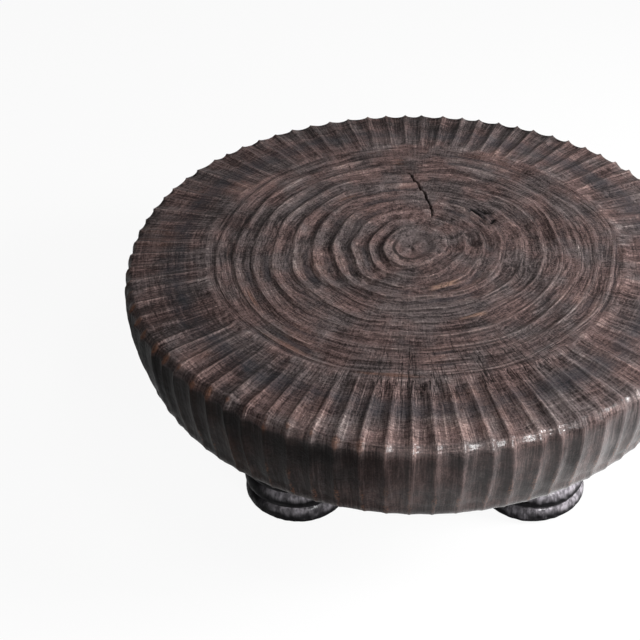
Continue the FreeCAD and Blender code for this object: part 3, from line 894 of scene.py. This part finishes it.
# Turned foot: a toe and rings whose outline is a rounded band between narrow grooves.
# The radius is the band's, less a groove term, plus slow waves from turning by hand.
def ringedFoot(corner, material, seed):
    low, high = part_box("foot_" + corner)
    outer = (high.x - low.x) / 2
    centre = ((low.x + high.x) / 2, (low.y + high.y) / 2)
    height, toe = high.z - low.z, feet["toeHeight"]
    grooves = toe + (height - toe) / feet["rings"] * np.arange(feet["rings"])
    level = np.concatenate([np.linspace(0, toe, feet["toeRows"] + 1)[:-1],
                            np.linspace(toe, height, feet["ringRows"])])
    levels = level[:, None]
    angle = np.arange(feet["columns"]) * 2 * math.pi / feet["columns"]
    angles = angle[None, :]
    lift = feet["lift"] * roundNoise(angles, 3, seed)
    at = levels + lift * band(levels, 0.004, 0.02, height - 0.02, height - 0.004)
    nearest = np.min(np.abs(at[:, :, None] - grooves[None, None, :]), axis=2)
    inward = 1 - np.clip(nearest / feet["ringEdge"], 0, 1)
    depth = feet["grooveDepth"] * (1 - np.sqrt(1 - 0.99 * inward ** 2))
    under = np.clip(1 - at / feet["toeRounding"], 0, 1)
    depth = depth + feet["toeRounding"] * (1 - np.sqrt(1 - under * under))
    depth = depth + feet["crown"][1] * np.clip(1 - (height - at) / feet["crown"][0], 0, 1) ** 2
    wobble = feet["wobble"] * fieldNoise(angles, levels, waves=4, perUnit=22, seed=seed + 1)
    knife = feet["knife"] * fieldNoise(angles, levels, waves=40, perUnit=60, seed=seed + 2)
    spread = np.random.default_rng(seed).uniform(-feet["spread"], feet["spread"])
    radius = outer + feet["swell"] - depth + wobble + knife + spread

    def rowAt(reach, rise):
        return np.stack([centre[0] + reach * np.cos(angle), centre[1] + reach * np.sin(angle),
                         np.full_like(angle, low.z + rise)], 1)

    points = [np.array([[*centre, low.z]]), rowAt(radius[0] * 0.6, 0)]
    points += [rowAt(reach, rise) for reach, rise in zip(radius, level)]
    points.append(np.array([[*centre, high.z]]))
    slope = -np.gradient(radius, level, axis=0)
    upward = slope / np.sqrt(1 + slope * slope)
    # Wax and a painted highlight on ring shoulders that face up and towards the front right.
    waxAndSheenFacing = smooth(0.25, 0.95, np.cos(angles - math.radians(feet["waxAndSheenAt"]))) * smooth(-0.05, 0.40, upward)
    waxAndSheenFacing = np.concatenate([[0.0], waxAndSheenFacing[0], waxAndSheenFacing.ravel(), [0.0]])
    faces = [face[::-1] for face in ringFaces([1] + [len(angle)] * (len(level) + 1) + [1])]
    return meshFrom("ringedFoot_" + corner, np.concatenate(points), faces, {"waxAndSheenFacing": waxAndSheenFacing}, material)


print("materials")
topFinish = burntWood()
footFinish = footWood()
feltFinish = pressedFelt()
nodeFinishes = {"table_top": topFinish, "hanger_bolts": zincSteel(), "threaded_inserts": machinedBrass()}
for corner in corners:
    nodeFinishes["foot_" + corner] = footFinish
    nodeFinishes["felt_pad_" + corner] = feltFinish
for name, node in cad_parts.items():
    node.data.materials.clear()
    node.data.materials.append(nodeFinishes[name])

print("slab")
top = burntSlab(topFinish)
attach(top, "root")
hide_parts("table_top")
print("slab triangles", sum(len(face.vertices) - 2 for face in top.data.polygons))

print("feet")
for number, corner in enumerate(corners):
    piece = ringedFoot(corner, footFinish, 70 + 10 * number)
    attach(piece, "root")
    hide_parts("foot_" + corner)


# The stage: a pale floor and soft lamps.
studio = {
    "floorHalfSize": 30.0,
    "floorColour": colour(0.86, 0.86, 0.86),     # as the camera sees it
    "floorBounce": colour(0.09, 0.09, 0.09),     # as it lights the table from below
    "floorGlow": 0.93,
    "worldStrength": 0.03,
    "lamps": {
        "keyLamp": {"place": (2.0, -0.35, 1.32), "target": (0.05, 0.0, 0.3), "size": 0.8, "power": 102},
        "highLamp": {"place": (0.75, -0.85, 2.3), "target": (0.0, 0.0, 0.3), "size": 0.6, "power": 15},
        "frontLamp": {"place": (1.2, -2.2, 1.3), "target": (0.0, -0.2, 0.1), "size": 0.5, "power": 28},
    },
}


# 1 where the camera looks, straight, by a mirror or through glass, and 0 for all other light.
def seenRays(tree):
    path = tree.nodes.new("ShaderNodeLightPath")
    seen = path.outputs["Is Camera Ray"]
    for kind in ("Is Glossy Ray", "Is Transmission Ray"):
        either = tree.nodes.new("ShaderNodeMath")
        either.operation = "MAXIMUM"
        tree.links.new(seen, either.inputs[0])
        tree.links.new(path.outputs[kind], either.inputs[1])
        seen = either.outputs[0]
    return seen


# Mixes two shaders by a share and links them to an output node.
def mixShaders(tree, share, first, second, output):
    blend = tree.nodes.new("ShaderNodeMixShader")
    for number, socket in enumerate((share, first, second)):
        tree.links.new(socket, blend.inputs[number])
    tree.links.new(blend.outputs[0], tree.nodes[output].inputs["Surface"])


# Square floor whose material mixes a matt pale surface with plain white for the camera.
def paleFloor():
    half = studio["floorHalfSize"]
    points = np.array([(-half, -half, 0), (half, -half, 0), (half, half, 0), (-half, half, 0)], float)
    c = Chain("paleFloor")
    seen = seenRays(c.tree)
    c.finish({"Base Color": c.mix(seen, studio["floorBounce"], studio["floorColour"]), "Roughness": 0.9})
    glow = c.add("ShaderNodeEmission", Color=colour(1, 1, 1), Strength=1.0)
    share = c.times(seen, studio["floorGlow"])
    mixShaders(c.tree, share, c.shader.outputs[0], glow.outputs[0], "Material Output")
    floor = meshFrom("paleFloor", points, [[0, 1, 2, 3]], {}, c.material)


# Soft grey light from all round, and a pale ground where the camera looks past the floor.
def whiteWorld():
    world = bpy.data.worlds.new("whiteWorld")
    bpy.context.scene.world = world
    world.use_nodes = True
    tree = world.node_tree
    soft = tree.nodes["Background"]
    soft.inputs["Color"].default_value = colour(1.0, 1.0, 1.0)
    soft.inputs["Strength"].default_value = studio["worldStrength"]
    white = tree.nodes.new("ShaderNodeBackground")
    mixShaders(tree, seenRays(tree), soft.outputs[0], white.outputs[0], "World Output")


# Links an object to the scene and turns it to three axes at a place.
def standAt(name, data, right, above, back, place):
    item = bpy.data.objects.new(name, data)
    bpy.context.scene.collection.objects.link(item)
    rows = [[right[i], above[i], back[i], place[i]] for i in range(3)]
    item.matrix_world = Matrix(rows + [[0, 0, 0, 1]])
    return item


# Square area lamp that faces its target.
def softLamp(name, place, target, size, power):
    data = bpy.data.lights.new(name, "AREA")
    data.shape = "SQUARE"
    data.size = size
    data.energy = power
    back = np.array(place, float) - np.array(target, float)
    back /= np.linalg.norm(back)
    right = np.cross((0, 0, 1), back)
    right /= np.linalg.norm(right)
    standAt(name, data, right, np.cross(back, right), back, place)


print("stage")
paleFloor()
whiteWorld()
for name, values in studio["lamps"].items():
    softLamp(name, **values)

# The camera, from the photograph's framing at 640 pixels square. Angles are degrees.
view = {
    "distance": 3.55,      # from the middle of the top, in rim radii
    "elevation": 33.62,
    "pitch": 4.405,        # how far it looks below that middle
    "yaw": -5.125,
    "roll": 1.32,
    "turn": -3.195,        # about the table, which brings the feet to its corners
    "focalPixels": 1005.7,
    "framePixels": 640,
    "sensorWidth": 36.0,   # millimetres
}


# Turns a pair of axes in their own plane.
def turned(first, second, angle):
    cosine, sine = math.cos(angle), math.sin(angle)
    return first * cosine + second * sine, second * cosine - first * sine


def aimCamera():
    data = bpy.data.cameras.new("camera")
    data.sensor_width = view["sensorWidth"]
    data.lens = view["focalPixels"] * data.sensor_width / view["framePixels"]
    angles = (view[key] for key in ("elevation", "pitch", "yaw", "roll", "turn"))
    rise, dip, yaw, roll, turn = (math.radians(value) for value in angles)
    away = view["distance"] * rimRadius
    place = np.array([0, -away * math.cos(rise), away * math.sin(rise)])
    look = np.array([0, math.cos(rise + dip), -math.sin(rise + dip)])
    right = np.array([1.0, 0, 0])
    above = np.cross(right, look)
    look, right = turned(look, right, yaw)
    right, above = turned(right, above, roll)
    spin = np.array([[math.cos(turn), -math.sin(turn), 0], [math.sin(turn), math.cos(turn), 0], [0, 0, 1]])
    place, look, right, above = (spin @ part for part in (place, look, right, above))
    place = place + np.array([0, 0, slabTop])
    bpy.context.scene.camera = standAt("camera", data, right, above, -look, place)


aimCamera()
bpy.context.scene.view_settings.view_transform = "Standard"

print("sizes")
